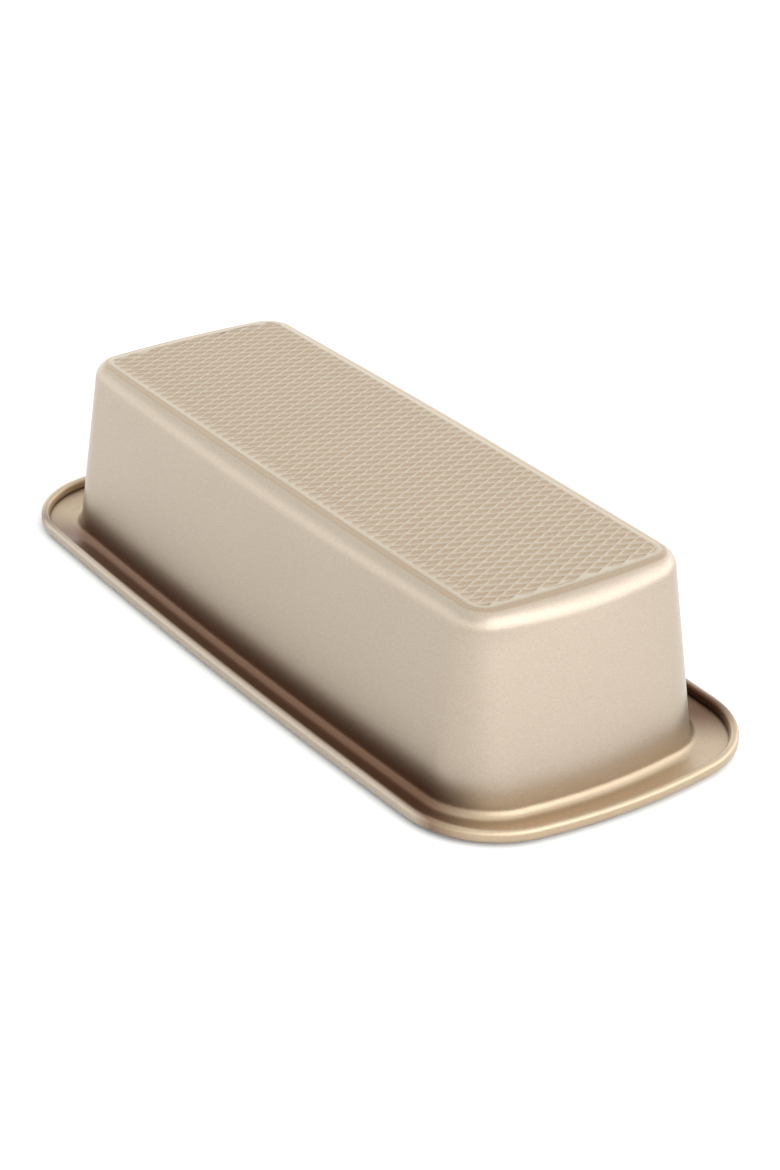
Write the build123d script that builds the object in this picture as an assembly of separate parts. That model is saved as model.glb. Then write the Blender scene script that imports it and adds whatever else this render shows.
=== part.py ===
from build123d import *
import os
from math import atan, cos

# Loaf pan, bottom up: one drawn sheet-steel pan with a curled rim, and the wire inside the rim.
#
# Millimetres. The pan lies upside down, as it is stored and as it leaves the bread: the mouth rests
# on the plane Z = 0 and the base faces +Z. X runs along the pan and Y across it. The origin is the
# centre of the mouth, on the plane that the pan rests on.

os.makedirs("parts", exist_ok=True)

# ---- driving dimensions -------------------------------------------------------------------------
SHEET = 0.8                  # thickness of the steel sheet
HEIGHT = 71.0                # from the plane of the mouth to the outside of the base

# the base, measured where the wall and base planes would meet
BASE_LENGTH = 264.2
BASE_WIDTH = 93.8
BASE_CORNER = 13.5
BASE_EDGE_RADIUS = 8.4       # outside rounding between base and wall

# the foot of the wall, measured on the plane of the mouth
FOOT_LENGTH = 288.2
FOOT_WIDTH = 110.2
FOOT_CORNER = 25.0
COVE_RADIUS = 3.6            # outside, between wall and flange

# every outline is a rounded rectangle whose sides bow outwards a little
SIDE_BOW = 2.1
END_BOW = 2.6

# the flange leaves the mouth on a small flat ring, then lifts away from the table to the curl
FLANGE_START = 0.2           # from the square corner of the cove to where the flange starts to rise
FLANGE_LIFT = 1.4            # height of the curl above the table
CURL_LAND = 2.2              # level strip of flange beside the curl

# the curl, along the centre line of the rim
RIM_LENGTH = 318.2
RIM_WIDTH = 133.8
RIM_CORNER = 34.8
CURL_WIDTH = 3.2
CURL_HEIGHT = 4.7
CURL_GAP = 0.5               # between the curl's free edge and the flange
CURL_LAP = 0.5               # of the curl's own section that lies in the level strip

# the wire inside the curl
WIRE_CLEARANCE = 0.05        # all round, between wire and sheet
WIRE_BUTT_GAP = 1.0          # where the two ends of the wire meet, at the middle of a long side

# ---- sizes that follow --------------------------------------------------------------------------
END_DRAFT = atan((FOOT_LENGTH - BASE_LENGTH) / 2 / HEIGHT)
SIDE_DRAFT = atan((FOOT_WIDTH - BASE_WIDTH) / 2 / HEIGHT)
CORNER_SPREAD = (FOOT_CORNER - BASE_CORNER) / HEIGHT
MOUTH_REACH = COVE_RADIUS + FLANGE_START
MOUTH_RING = (FOOT_LENGTH + 2 * MOUTH_REACH, FOOT_WIDTH + 2 * MOUTH_REACH, FOOT_CORNER + MOUTH_REACH)
RIM_LINE = (RIM_LENGTH, RIM_WIDTH, RIM_CORNER)
CURL_LAND_LINE = tuple(size - 2 * CURL_LAND for size in RIM_LINE[:2]) + (RIM_CORNER - CURL_LAND,)
WIRE_RADIUS = CURL_WIDTH / 2 - SHEET - WIRE_CLEARANCE


def outline(length, width, corner, z):
    """Flat face: a rounded rectangle with bowed sides, lying at height z."""
    half_x = length / 2 - corner
    half_y = width / 2 - corner
    x = half_x - END_BOW
    y = half_y - SIDE_BOW
    sides = [
        ThreePointArc((-x, -y), (0, -half_y), (x, -y)),
        ThreePointArc((x, -y), (half_x, 0), (x, y)),
        ThreePointArc((x, y), (0, half_y), (-x, y)),
        ThreePointArc((-x, y), (-half_x, 0), (-x, -y)),
    ]
    core = make_face(Curve() + sides)
    return Pos(0, 0, z) * offset(core, corner, kind=Kind.ARC)


def wall_outline(z, inset):
    """The wall's outline at height z, moved in by the given number of sheet thicknesses."""
    down = HEIGHT - z
    length = BASE_LENGTH + (FOOT_LENGTH - BASE_LENGTH) * down / HEIGHT
    width = BASE_WIDTH + (FOOT_WIDTH - BASE_WIDTH) * down / HEIGHT
    corner = BASE_CORNER + CORNER_SPREAD * down
    length -= 2 * inset * SHEET / cos(END_DRAFT)
    width -= 2 * inset * SHEET / cos(SIDE_DRAFT)
    return outline(length, width, corner - inset * SHEET, z)


def wall_edges(part, z, tolerance=0.01):
    """The edges, in the plane at height z, of the faces that run up the wall."""
    walls = part.faces().filter_by(lambda face: face.bounding_box().size.Z > HEIGHT / 2)
    return walls.edges().filter_by_position(Axis.Z, z - tolerance, z + tolerance)


# ---- the pan ------------------------------------------------------------------------------------
def flange():
    """A shallow dish: level on the table at the mouth, then rising to a level strip at the curl."""
    ring = outline(*MOUTH_RING, 0)
    land = outline(*CURL_LAND_LINE, FLANGE_LIFT)
    lift = Pos(0, 0, SHEET)
    under = loft([ring, land], ruled=True) + extrude(outline(*RIM_LINE, FLANGE_LIFT), SHEET)
    over = loft([lift * ring, lift * land], ruled=True)
    return under - over


def pan_shell():
    """Base, walls, flange and curl, all one sheet."""
    outside = loft([wall_outline(0, 0), wall_outline(HEIGHT, 0)], ruled=True)
    shell = flange() + outside
    shell = fillet(wall_edges(shell, HEIGHT), BASE_EDGE_RADIUS)
    shell = fillet(wall_edges(shell, SHEET), COVE_RADIUS)

    inside = loft([wall_outline(0, 1), wall_outline(HEIGHT - SHEET, 1)], ruled=True)
    inside = fillet(wall_edges(inside, HEIGHT - SHEET), BASE_EDGE_RADIUS - SHEET)
    shell -= inside
    shell = fillet(wall_edges(shell, 0), COVE_RADIUS + SHEET)
    return shell + curl()


def rim_line():
    """Centre line of the rim, and a plane across it: local x points out of the pan, local y up."""
    line = outline(*RIM_LINE, FLANGE_LIFT).face().outer_wire()
    up = Vector(0, 0, 1)
    start = line @ 0
    outward = (line % 0).cross(up)
    if outward.dot(start) < 0:
        outward = -outward
    return line, Plane(origin=start, x_dir=outward, z_dir=outward.cross(up))


def curl():
    """The sheet's edge, turned up outside, over the wire and down to just above the flange."""
    line, across = rim_line()
    r_out = CURL_WIDTH / 2
    r_in = r_out - SHEET
    high = CURL_HEIGHT - r_out
    free_edge = SHEET + CURL_GAP
    section = [
        Line((-CURL_LAP, 0), (0, 0)),
        RadiusArc((0, 0), (r_out, r_out), -r_out),
        Line((r_out, r_out), (r_out, high)),
        ThreePointArc((r_out, high), (0, CURL_HEIGHT), (-r_out, high)),
        Line((-r_out, high), (-r_out, free_edge)),
        Line((-r_out, free_edge), (-r_in, free_edge)),
        Line((-r_in, free_edge), (-r_in, high)),
        ThreePointArc((-r_in, high), (0, CURL_HEIGHT - SHEET), (r_in, high)),
        Line((r_in, high), (r_in, r_out)),
        RadiusArc((r_in, r_out), (0, SHEET), r_in),
        Line((0, SHEET), (-CURL_LAP, SHEET)),
        Line((-CURL_LAP, SHEET), (-CURL_LAP, 0)),
    ]
    return sweep(across * make_face(Curve() + section), path=line)


# ---- the wire -----------------------------------------------------------------------------------
def rim_wire():
    """Round wire that fills the top of the curl; its ends meet in the middle of one long side."""
    line, across = rim_line()
    centre = Pos(0, CURL_HEIGHT - CURL_WIDTH / 2)
    ring = sweep(across * centre * Circle(WIRE_RADIUS), path=line)
    middle = Pos(0, RIM_WIDTH / 2, FLANGE_LIFT + CURL_HEIGHT / 2)
    return ring - middle * Box(WIRE_BUTT_GAP, 2 * CURL_WIDTH, 2 * CURL_HEIGHT)


for name, part in {"pan_shell": pan_shell(), "rim_wire": rim_wire()}.items():
    part.label = name
    export_step(part, f"parts/{name}.step")
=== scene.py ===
"""Loaf pan lying bottom up on a pale table: a drawn steel pan with an embossed base and a wired rim.

Metres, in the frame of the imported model: X along the pan, Y across it, Z up from the table that
the mouth rests on.
"""

from math import acos, asin, cos, pi, radians, sin, tan

import bmesh
import bpy
from mathutils import Matrix, Vector


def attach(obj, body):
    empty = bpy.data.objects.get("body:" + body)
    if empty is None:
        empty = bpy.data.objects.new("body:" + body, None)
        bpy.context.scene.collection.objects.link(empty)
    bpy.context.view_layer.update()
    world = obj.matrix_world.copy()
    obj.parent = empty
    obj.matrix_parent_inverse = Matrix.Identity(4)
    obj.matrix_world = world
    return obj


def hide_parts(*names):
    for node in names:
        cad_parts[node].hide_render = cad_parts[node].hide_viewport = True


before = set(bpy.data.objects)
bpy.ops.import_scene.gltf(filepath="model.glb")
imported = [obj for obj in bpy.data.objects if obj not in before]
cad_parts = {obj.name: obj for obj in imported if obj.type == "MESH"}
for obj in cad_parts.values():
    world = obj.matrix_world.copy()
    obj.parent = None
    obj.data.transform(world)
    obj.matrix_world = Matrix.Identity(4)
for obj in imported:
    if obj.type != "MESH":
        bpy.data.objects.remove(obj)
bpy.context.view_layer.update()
scene = bpy.context.scene

# ---- camera -------------------------------------------------------------------------------------
# A long lens a metre away, beside the near end of the pan and looking down on its base.
camera_data = bpy.data.cameras.new("camera")
camera_data.lens = 82.5
camera_data.sensor_width = 36.0
camera_data.shift_x = 0.0618
camera_data.shift_y = -0.0609
camera_data.clip_start = 0.05
camera_data.clip_end = 50.0
camera = bpy.data.objects.new("camera", camera_data)
camera.location = (0.7316, -0.4963, 0.4760)
camera.rotation_euler = (radians(90 - 26.02), 0.0, radians(56.95))
scene.collection.objects.link(camera)
scene.camera = camera

# ---- light --------------------------------------------------------------------------------------
# A white product table in a studio: an even pale room, brighter on the right, and one wide soft
# panel at the right that lifts the highlight along the base's near edge.
scene.view_settings.view_transform = "Standard"
studio = bpy.data.worlds.new("studio")
studio.use_nodes = True
nodes = studio.node_tree.nodes
links = studio.node_tree.links
background = nodes["Background"]
background.inputs["Strength"].default_value = 3.5
toward = nodes.new("ShaderNodeTexCoord")
height = nodes.new("ShaderNodeSeparateXYZ")
rightward = nodes.new("ShaderNodeVectorMath")
rightward.operation = "DOT_PRODUCT"
rightward.inputs[1].default_value = (0.90, 0.44, 0.0)
on_right = nodes.new("ShaderNodeMapRange")
on_right.inputs["From Min"].default_value = 0.05
on_right.inputs["From Max"].default_value = 0.60
links.new(toward.outputs["Generated"], height.inputs["Vector"])
links.new(toward.outputs["Generated"], rightward.inputs[0])
links.new(rightward.outputs["Value"], on_right.inputs["Value"])


def room_side(stops, tone):
    """A ramp of one tone from the horizon (0) to overhead (1), as (height, brightness) stops."""
    ramp = nodes.new("ShaderNodeValToRGB")
    elements = ramp.color_ramp.elements
    for at, _ in stops[2:]:
        elements.new(at)
    for element, (at, grey) in zip(elements, stops):
        element.position = at
        element.color = (*(grey * part for part in tone), 1.0)
    links.new(height.outputs["Z"], ramp.inputs["Fac"])
    return ramp


left_side = room_side(((0.0, 0.56), (0.38, 0.56), (0.54, 0.33), (1.0, 0.44)), (0.98, 1.01, 1.01))
right_side = room_side(((0.0, 1.0), (0.45, 0.82), (0.70, 0.54), (1.0, 0.44)), (1.0, 1.04, 1.07))
room = nodes.new("ShaderNodeMix")
room.data_type = "RGBA"
links.new(on_right.outputs["Result"], room.inputs["Factor"])
links.new(left_side.outputs["Color"], room.inputs["A"])
links.new(right_side.outputs["Color"], room.inputs["B"])
seen = nodes.new("ShaderNodeLightPath")
backdrop = nodes.new("ShaderNodeMix")
backdrop.data_type = "RGBA"
backdrop.inputs["B"].default_value = (0.29, 0.29, 0.29, 1.0)
links.new(seen.outputs["Is Camera Ray"], backdrop.inputs["Factor"])
links.new(room.outputs["Result"], backdrop.inputs["A"])
links.new(backdrop.outputs["Result"], background.inputs["Color"])
scene.world = studio

panel_data = bpy.data.lights.new("soft_panel", "AREA")
panel_data.shape = "RECTANGLE"
panel_data.size = 1.3
panel_data.size_y = 0.9
panel_data.energy = 5.0
soft_panel = bpy.data.objects.new("soft_panel", panel_data)
from_pan = Vector((0.79, 0.08, 0.61)).normalized()
soft_panel.location = from_pan * 1.7
soft_panel.rotation_euler = from_pan.to_track_quat("Z", "Y").to_euler()
scene.collection.objects.link(soft_panel)

# ---- table --------------------------------------------------------------------------------------
# A matt white table top, far larger than the view.
table_mesh = bpy.data.meshes.new("table")
bm = bmesh.new()
bmesh.ops.create_grid(bm, x_segments=1, y_segments=1, size=6.0)
bm.to_mesh(table_mesh)
bm.free()
table = bpy.data.objects.new("table", table_mesh)
scene.collection.objects.link(table)

matt_white = bpy.data.materials.new("matt_white")
matt_white.use_nodes = True
nodes = matt_white.node_tree.nodes
links = matt_white.node_tree.links
shader = nodes["Principled BSDF"]
shader.inputs["Roughness"].default_value = 0.9
shader.inputs["Specular IOR Level"].default_value = 0.15
place = nodes.new("ShaderNodeTexCoord")
clouds = nodes.new("ShaderNodeTexNoise")
clouds.inputs["Scale"].default_value = 3.0
tone = nodes.new("ShaderNodeMix")
tone.data_type = "RGBA"
tone.inputs["A"].default_value = (0.785, 0.775, 0.765, 1.0)
tone.inputs["B"].default_value = (0.815, 0.805, 0.795, 1.0)
links.new(place.outputs["Object"], clouds.inputs["Vector"])
links.new(clouds.outputs["Fac"], tone.inputs["Factor"])
links.new(tone.outputs["Result"], shader.inputs["Base Color"])
table_mesh.materials.append(matt_white)

# ---- pan shell ----------------------------------------------------------------------------------
# One sheet of 0.8 mm steel, deep drawn, with diamonds pressed into the base inside a border line.
# The flange lifts off the table, and its edge is rolled up and over into the bead that holds the wire.
# A satin champagne non-stick coat covers it all. Sizes are in millimetres.
MM = 0.001
SHEET = 0.8
HEIGHT = 71.0
DIAMOND_LENGTH = 9.2
DIAMOND_WIDTH = 4.5
DIAMOND_SHIFT = (2.47, 0.12)
RIDGE_STEPS = ((0.22, 0.03), (0.24, 0.17), (0.34, 0.18))
POCKET_DISH = 0.04
TIP_ROUNDING = 0.92
SMALLEST_POCKET = 0.8
UNCUT_SHARE = 0.995          # of a whole diamond's area, above which a pocket counts as whole
PART_SCALE = 0.6             # of ridge and depth, for a pocket that the border cuts
LONG_TIP = 1.25              # of a pocket's mean reach, past which a corner counts as a tip
MERGE_DISTANCE = 0.4         # slivers left by the border cut close up below this

BORDER = (249.2, 78.8, 6.0)
BORDER_HALF = 0.65
BORDER_CREST = 0.2
BORDER_FALL = ((0.45, 0.03), (0.80, 0.14), (1.15, 0.25), (1.60, 0.31))
BASE = (264.2, 93.8, 13.5)
FOOT = (288.2, 110.2, 25.0)
BASE_EDGE_RADIUS = 8.4
COVE_RADIUS = 3.6
COVE_LEAN = 8                # mean lean of the walls, in degrees, from which the cove turns
COVE_SPREAD = 0.93           # brings the cove of the leaning wall out to the mouth ring
MOUTH_REACH = 3.8
RIM = (318.2, 133.8, 34.8)
SIDE_BOW = 2.1
END_BOW = 2.6
BORDER_BOWING = 0.35
FLANGE_LIFT = 1.4
FLANGE_RISE = ((0.0, 0.0), (0.5, 0.5), (0.97, 0.98), (1.0, 1.0))
CURL_LAND = 2.2
CURL_WIDTH = 3.2
CURL_HEIGHT = 4.7
CURL_GAP = 0.5
LEVEL_END = 0.3

# rings down the pan: turns are in degrees, heights in millimetres
EDGE_TURNS = (16, 22, 29, 36, 44, 52, 60, 68, 75, 80.4)
WALL_HEIGHTS = (58.0, 48.0, 38.0, 28.0, 19.0, 12.0, 7.6)
COVE_TURNS = (10, 20, 30, 42, 54, 66, 78, 90)
CURL_OUT_TURNS = (0, 22, 45, 68, 90)
CURL_OVER_TURNS = (0, 22, 45, 68, 90, 112, 135, 158, 180)

# points round the pan
SIDE_STEPS = 14
END_STEPS = 6
CORNER_STEPS = 14


def outline_point(station, size, outset, z, bowing):
    """The place of one station on a rounded rectangle with bowed sides, in metres.

    size is the outline's length, width and corner radius, outset moves it outwards, and bowing
    says how much of the pan's bow it has.
    """
    length, width, corner = size
    side_bow = SIDE_BOW * bowing
    end_bow = END_BOW * bowing
    x = length / 2 - corner - end_bow
    y = width / 2 - corner - side_bow
    side_radius = (x * x + side_bow * side_bow) / (2 * side_bow)
    end_radius = (y * y + end_bow * end_bow) / (2 * end_bow)
    side_turn = asin(x / side_radius)
    end_turn = asin(y / end_radius)
    side_centre = (0.0, y + side_bow - side_radius)
    end_centre = (x + end_bow - end_radius, 0.0)

    quarter = END_STEPS // 2 + CORNER_STEPS + SIDE_STEPS // 2
    lap, step = divmod(station, quarter)
    mirrored = lap % 2 == 1
    if mirrored:
        step = quarter - step
    if step <= END_STEPS // 2:
        centre, radius = end_centre, end_radius + corner
        angle = end_turn * step / (END_STEPS // 2)
    elif step <= END_STEPS // 2 + CORNER_STEPS:
        centre, radius = (x, y), corner
        first, last = end_turn, pi / 2 - side_turn
        angle = first + (last - first) * (step - END_STEPS // 2) / CORNER_STEPS
    else:
        centre, radius = side_centre, side_radius + corner
        angle = pi / 2 - side_turn * (quarter - step) / (SIDE_STEPS // 2)
    px = centre[0] + (radius + outset) * cos(angle)
    py = centre[1] + (radius + outset) * sin(angle)
    if lap in (1, 2):
        px = -px
    if lap in (2, 3):
        py = -py
    return Vector((px, py, z)) * MM


STATIONS = 2 * (END_STEPS + SIDE_STEPS) + 4 * CORNER_STEPS


def between(low, high, part):
    """A size or number that lies the given part of the way from low to high."""
    if isinstance(low, tuple):
        return tuple(a + (b - a) * part for a, b in zip(low, high))
    return low + (high - low) * part


# the field of diamonds: a grid sheared into rhombi and cut to the border line
bm = bmesh.new()
cells = 2 * round(BORDER[0] / 2 / DIAMOND_WIDTH + BORDER[1] / 2 / DIAMOND_LENGTH + 2)
bmesh.ops.create_grid(bm, x_segments=cells, y_segments=cells, size=cells / 2)
shear = Matrix((
    (DIAMOND_WIDTH / 2, DIAMOND_WIDTH / 2, 0.0, DIAMOND_SHIFT[0]),
    (-DIAMOND_LENGTH / 2, DIAMOND_LENGTH / 2, 0.0, DIAMOND_SHIFT[1]),
    (0.0, 0.0, 1.0, HEIGHT),
    (0.0, 0.0, 0.0, 1.0),
))
bmesh.ops.transform(bm, matrix=Matrix.Scale(MM, 4) @ shear, verts=bm.verts)
outside = [
    face for face in bm.faces
    if abs(face.calc_center_median().x) > (BORDER[0] / 2 + DIAMOND_WIDTH) * MM
    or abs(face.calc_center_median().y) > (BORDER[1] / 2 + DIAMOND_LENGTH) * MM
]
bmesh.ops.delete(bm, geom=outside, context="FACES")
corners = [outline_point(n, BORDER, -BORDER_HALF, HEIGHT, BORDER_BOWING) for n in range(STATIONS)]
for n, corner in enumerate(corners):
    along = corners[(n + 1) % STATIONS] - corner
    across = along.cross(Vector((0, 0, 1)))
    if n % 2 == 0 or along.length < 2 * MM:
        bmesh.ops.bisect_plane(
            bm, geom=bm.verts[:] + bm.edges[:] + bm.faces[:], dist=1e-7,
            plane_co=corner, plane_no=across, clear_outer=True,
        )
bmesh.ops.remove_doubles(bm, verts=bm.verts, dist=MERGE_DISTANCE * MM)
field_edge = [edge for edge in bm.edges if edge.is_boundary]
inner_edges = [edge for edge in bm.edges if not edge.is_boundary]
bmesh.ops.subdivide_edges(bm, edges=inner_edges, cuts=1)

# pockets: each diamond gets a rounded ridge all round and a dished floor, smaller where it is cut
uncut = DIAMOND_LENGTH * DIAMOND_WIDTH / 2 * MM * MM
pockets = [face for face in bm.faces if face.calc_area() > UNCUT_SHARE * uncut]
part_pockets = [
    face for face in bm.faces
    if face not in pockets and 2 * face.calc_area() / face.calc_perimeter() > SMALLEST_POCKET * MM
]
for floors, scale in ((pockets, 1.0), (part_pockets, PART_SCALE)):
    for width, drop in RIDGE_STEPS:
        bmesh.ops.inset_individual(
            bm, faces=floors, thickness=width * scale * MM, depth=-drop * scale * MM,
            use_even_offset=scale == 1.0,
        )
        if width != RIDGE_STEPS[0][0]:
            continue
        for face in floors:
            centre = face.calc_center_median()
            reach = sum((vert.co - centre).length for vert in face.verts) / len(face.verts)
            for vert in face.verts:
                if (vert.co - centre).length > LONG_TIP * reach:
                    vert.co = centre + (vert.co - centre) * TIP_ROUNDING
    for point in bmesh.ops.poke(bm, faces=floors)["verts"]:
        point.co.z -= POCKET_DISH * scale * MM

# the border ridge joins the field to the first ring of the wall
station = bm.verts.layers.int.new("station")
ring = bmesh.ops.create_circle(bm, cap_ends=False, segments=STATIONS, radius=0.2)["verts"]
for n, vert in enumerate(sorted(ring, key=lambda v: v.index)):
    vert[station] = n
    vert.co = outline_point(n, BORDER, BORDER_CREST, HEIGHT, BORDER_BOWING)
rim_of_field = [edge for edge in bm.edges if edge.is_boundary]
ring_edges = [edge for edge in bm.edges if edge.is_wire]
bmesh.ops.triangle_fill(
    bm, use_beauty=True, use_dissolve=False, edges=rim_of_field + ring_edges, normal=(0, 0, 1)
)

# every further ring down to the curl's free edge: (size, outset, z, bowing)
rings = [(BORDER, outset, HEIGHT - drop, BORDER_BOWING) for outset, drop in BORDER_FALL]
END_DRAFT = acos(HEIGHT / Vector(((FOOT[0] - BASE[0]) / 2, HEIGHT)).length)
SIDE_DRAFT = acos(HEIGHT / Vector(((FOOT[1] - BASE[1]) / 2, HEIGHT)).length)
end_set_back = BASE_EDGE_RADIUS * tan((pi / 2 - END_DRAFT) / 2)
side_set_back = BASE_EDGE_RADIUS * tan((pi / 2 - SIDE_DRAFT) / 2)
for turn in EDGE_TURNS:
    reach = BASE_EDGE_RADIUS * sin(radians(turn))
    drop = BASE_EDGE_RADIUS * (1 - cos(radians(turn)))
    size = (
        BASE[0] - 2 * (end_set_back - reach),
        BASE[1] - 2 * (side_set_back - reach),
        BASE[2] - end_set_back + reach,
    )
    rings.append((size, 0.0, HEIGHT - drop, between(BORDER_BOWING, 1.0, turn / EDGE_TURNS[-1])))


def wall(z):
    """Length, width and corner radius of the wall's outside at height z."""
    return between(FOOT, BASE, z / HEIGHT)


for z in WALL_HEIGHTS:
    rings.append((wall(z), 0.0, z, 1.0))
for turn in COVE_TURNS:
    hidden = COVE_RADIUS * (1 - cos(radians(turn - COVE_LEAN)))
    z = SHEET + COVE_RADIUS * (1 - sin(radians(turn)))
    rings.append((wall(max(z, 0.0)), hidden * COVE_SPREAD, z, 1.0))
mouth = tuple(size + 2 * MOUTH_REACH for size in FOOT[:2]) + (FOOT[2] + MOUTH_REACH,)
land = tuple(size - 2 * CURL_LAND for size in RIM[:2]) + (RIM[2] - CURL_LAND,)
for part, rise in FLANGE_RISE:
    rings.append((between(mouth, land, part), 0.0, SHEET + FLANGE_LIFT * rise, 1.0))
r_in = CURL_WIDTH / 2 - SHEET
level = FLANGE_LIFT + SHEET
rings.append((RIM, -LEVEL_END, level, 1.0))
for turn in CURL_OUT_TURNS:
    rings.append((
        RIM, r_in * sin(radians(turn)), level + r_in * (1 - cos(radians(turn))), 1.0
    ))
high = FLANGE_LIFT + CURL_HEIGHT - CURL_WIDTH / 2
for turn in CURL_OVER_TURNS:
    rings.append((RIM, r_in * cos(radians(turn)), high + r_in * sin(radians(turn)), 1.0))
rings.append((RIM, -r_in, level + CURL_GAP, 1.0))

edges = ring_edges
for size, outset, z, bowing in rings:
    grown = bmesh.ops.extrude_edge_only(bm, edges=edges)["geom"]
    edges = [item for item in grown if isinstance(item, bmesh.types.BMEdge)]
    for vert in grown:
        if isinstance(vert, bmesh.types.BMVert):
            vert.co = outline_point(vert[station], size, outset, z, bowing)

bmesh.ops.recalc_face_normals(bm, faces=bm.faces)
if sum(face.normal.z * face.calc_area() for face in bm.faces) < 0:
    bmesh.ops.reverse_faces(bm, faces=bm.faces)
for face in bm.faces:
    face.smooth = True
shell_mesh = bpy.data.meshes.new("pan_body")
bm.to_mesh(shell_mesh)
bm.free()
pan_body = bpy.data.objects.new("pan_body", shell_mesh)
scene.collection.objects.link(pan_body)
thickness = pan_body.modifiers.new("sheet", "SOLIDIFY")
thickness.thickness = SHEET * MM
thickness.offset = -1.0
thickness.use_quality_normals = True

champagne_coat = bpy.data.materials.new("champagne_coat")
champagne_coat.use_nodes = True
nodes = champagne_coat.node_tree.nodes
links = champagne_coat.node_tree.links
shader = nodes["Principled BSDF"]
shader.inputs["Metallic"].default_value = 0.9
shader.inputs["Coat Weight"].default_value = 0.25
shader.inputs["Coat Roughness"].default_value = 0.25
place = nodes.new("ShaderNodeTexCoord")
flakes = nodes.new("ShaderNodeTexVoronoi")
flakes.inputs["Scale"].default_value = 3600.0
sparkle = nodes.new("ShaderNodeSeparateColor")
clouds = nodes.new("ShaderNodeTexNoise")
clouds.inputs["Scale"].default_value = 22.0
clouds.inputs["Detail"].default_value = 3.0
flake_tone = nodes.new("ShaderNodeMix")
flake_tone.data_type = "RGBA"
flake_tone.inputs["A"].default_value = (0.378, 0.309, 0.244, 1.0)
flake_tone.inputs["B"].default_value = (0.438, 0.362, 0.288, 1.0)
cloud_tone = nodes.new("ShaderNodeMix")
cloud_tone.data_type = "RGBA"
cloud_tone.blend_type = "MULTIPLY"
cloud_tone.inputs["B"].default_value = (0.95, 0.94, 0.93, 1.0)
flake_gloss = nodes.new("ShaderNodeMapRange")
flake_gloss.inputs["To Min"].default_value = 0.36
flake_gloss.inputs["To Max"].default_value = 0.46
orange_peel = nodes.new("ShaderNodeTexNoise")
orange_peel.inputs["Scale"].default_value = 1100.0
orange_peel.inputs["Detail"].default_value = 2.0
peel_bump = nodes.new("ShaderNodeBump")
peel_bump.inputs["Strength"].default_value = 0.12
peel_bump.inputs["Distance"].default_value = 0.0001
for texture in (flakes, clouds, orange_peel):
    links.new(place.outputs["Object"], texture.inputs["Vector"])
links.new(flakes.outputs["Color"], sparkle.inputs["Color"])
links.new(sparkle.outputs["Red"], flake_tone.inputs["Factor"])
links.new(flake_tone.outputs["Result"], cloud_tone.inputs["A"])
links.new(clouds.outputs["Fac"], cloud_tone.inputs["Factor"])
# the pressed pockets are a little browner than the rest, as painted shade, and the ridges a little
# paler, as painted highlight
pressing = nodes.new("ShaderNodeSeparateXYZ")
pressed = nodes.new("ShaderNodeMapRange")
pressed.inputs["From Min"].default_value = 0.0702
pressed.inputs["From Max"].default_value = 0.0710
pocket_shade_ridge_light_tone = nodes.new("ShaderNodeValToRGB")
elements = pocket_shade_ridge_light_tone.color_ramp.elements
for at in (0.35, 0.75):
    elements.new(at)
for element, (at, colour) in zip(elements, (
    (0.0, (1.0, 1.0, 1.0)), (0.35, (0.92, 0.84, 0.74)),
    (0.75, (0.92, 0.84, 0.74)), (1.0, (1.05, 1.06, 1.04)),
)):
    element.position = at
    element.color = (*colour, 1.0)
pocket_shade_ridge_light_mix = nodes.new("ShaderNodeMix")
pocket_shade_ridge_light_mix.data_type = "RGBA"
pocket_shade_ridge_light_mix.blend_type = "MULTIPLY"
pocket_shade_ridge_light_mix.inputs["Factor"].default_value = 1.0
links.new(place.outputs["Object"], pressing.inputs["Vector"])
links.new(pressing.outputs["Z"], pressed.inputs["Value"])
links.new(pressed.outputs["Result"], pocket_shade_ridge_light_tone.inputs["Fac"])
links.new(cloud_tone.outputs["Result"], pocket_shade_ridge_light_mix.inputs["A"])
links.new(pocket_shade_ridge_light_tone.outputs["Color"], pocket_shade_ridge_light_mix.inputs["B"])
# painted shade and reflection: a dark brown at the foot and flange of the long sides, for light that
# dims between the two, and a warmer tint at the foot of the ends, for the warm light they reflect
low_band = nodes.new("ShaderNodeMapRange")
low_band.interpolation_type = "SMOOTHSTEP"
low_band.inputs["From Min"].default_value = 0.015
low_band.inputs["From Max"].default_value = 0.004
painted_foot_shade = nodes.new("ShaderNodeMix")
painted_foot_shade.data_type = "RGBA"
painted_foot_shade.blend_type = "MULTIPLY"
side_distance = nodes.new("ShaderNodeMath")
side_distance.operation = "ABSOLUTE"
end_distance = nodes.new("ShaderNodeMath")
end_distance.operation = "ABSOLUTE"
nearer_end = nodes.new("ShaderNodeMath")
nearer_end.operation = "SUBTRACT"
on_end = nodes.new("ShaderNodeMapRange")
on_end.interpolation_type = "SMOOTHSTEP"
on_end.inputs["From Min"].default_value = 0.060
on_end.inputs["From Max"].default_value = 0.095
# painted shade on the long sides (A) and painted warm reflection on the ends (B)
foot_shade_and_reflection_tone = nodes.new("ShaderNodeMix")
foot_shade_and_reflection_tone.data_type = "RGBA"
foot_shade_and_reflection_tone.inputs["A"].default_value = (0.36, 0.22, 0.15, 1.0)
foot_shade_and_reflection_tone.inputs["B"].default_value = (1.06, 0.98, 0.84, 1.0)
links.new(pressing.outputs["X"], end_distance.inputs[0])
links.new(pressing.outputs["Y"], side_distance.inputs[0])
links.new(end_distance.outputs["Value"], nearer_end.inputs[0])
links.new(side_distance.outputs["Value"], nearer_end.inputs[1])
links.new(nearer_end.outputs["Value"], on_end.inputs["Value"])
links.new(on_end.outputs["Result"], foot_shade_and_reflection_tone.inputs["Factor"])
links.new(foot_shade_and_reflection_tone.outputs["Result"], painted_foot_shade.inputs["B"])
links.new(pressing.outputs["Z"], low_band.inputs["Value"])
inside_bead = nodes.new("ShaderNodeMapRange")
inside_bead.inputs["From Min"].default_value = 0.066
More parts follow.
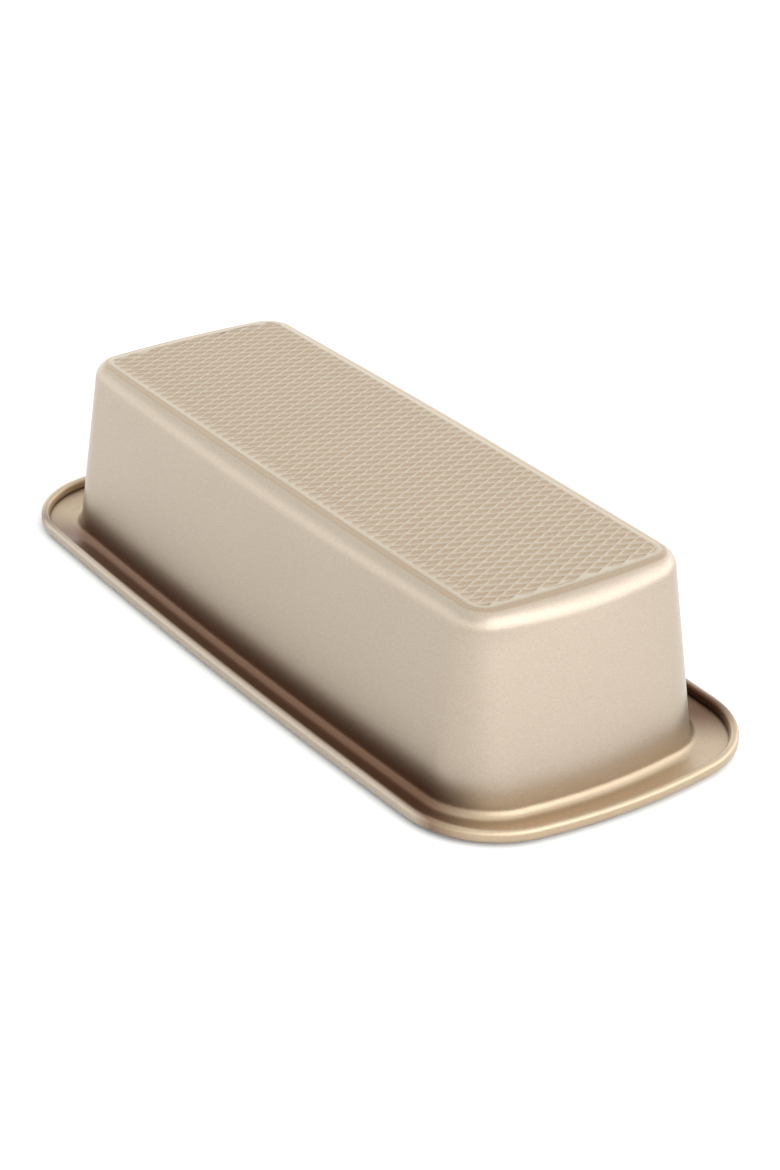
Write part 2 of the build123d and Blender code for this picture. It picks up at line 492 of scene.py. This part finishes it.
inside_bead.inputs["From Max"].default_value = 0.064
foot_band = nodes.new("ShaderNodeMath")
foot_band.operation = "MULTIPLY"
links.new(side_distance.outputs["Value"], inside_bead.inputs["Value"])
links.new(low_band.outputs["Result"], foot_band.inputs[0])
links.new(inside_bead.outputs["Result"], foot_band.inputs[1])
links.new(foot_band.outputs["Value"], painted_foot_shade.inputs["Factor"])
links.new(pocket_shade_ridge_light_mix.outputs["Result"], painted_foot_shade.inputs["A"])
links.new(painted_foot_shade.outputs["Result"], shader.inputs["Base Color"])
links.new(sparkle.outputs["Green"], flake_gloss.inputs["Value"])
links.new(flake_gloss.outputs["Result"], shader.inputs["Roughness"])
links.new(orange_peel.outputs["Fac"], peel_bump.inputs["Height"])
links.new(peel_bump.outputs["Normal"], shader.inputs["Normal"])
shell_mesh.materials.append(champagne_coat)

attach(pan_body, "root")
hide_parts("pan_shell")

# ---- rim wire -----------------------------------------------------------------------------------
# Bright drawn steel wire that the rim is rolled round; it shows only through the gap under the curl.
drawn_wire = bpy.data.materials.new("drawn_wire")
drawn_wire.use_nodes = True
nodes = drawn_wire.node_tree.nodes
links = drawn_wire.node_tree.links
shader = nodes["Principled BSDF"]
shader.inputs["Metallic"].default_value = 1.0
place = nodes.new("ShaderNodeTexCoord")
die_marks = nodes.new("ShaderNodeTexNoise")
die_marks.inputs["Scale"].default_value = 900.0
die_marks.inputs["Detail"].default_value = 3.0
wire_tone = nodes.new("ShaderNodeMix")
wire_tone.data_type = "RGBA"
wire_tone.inputs["A"].default_value = (0.52, 0.51, 0.50, 1.0)
wire_tone.inputs["B"].default_value = (0.70, 0.69, 0.68, 1.0)
wire_gloss = nodes.new("ShaderNodeMapRange")
wire_gloss.inputs["To Min"].default_value = 0.25
wire_gloss.inputs["To Max"].default_value = 0.40
links.new(place.outputs["Object"], die_marks.inputs["Vector"])
links.new(die_marks.outputs["Fac"], wire_tone.inputs["Factor"])
links.new(wire_tone.outputs["Result"], shader.inputs["Base Color"])
links.new(die_marks.outputs["Fac"], wire_gloss.inputs["Value"])
links.new(wire_gloss.outputs["Result"], shader.inputs["Roughness"])
rim_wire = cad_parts["rim_wire"]
rim_wire.data.materials.clear()
rim_wire.data.materials.append(drawn_wire)
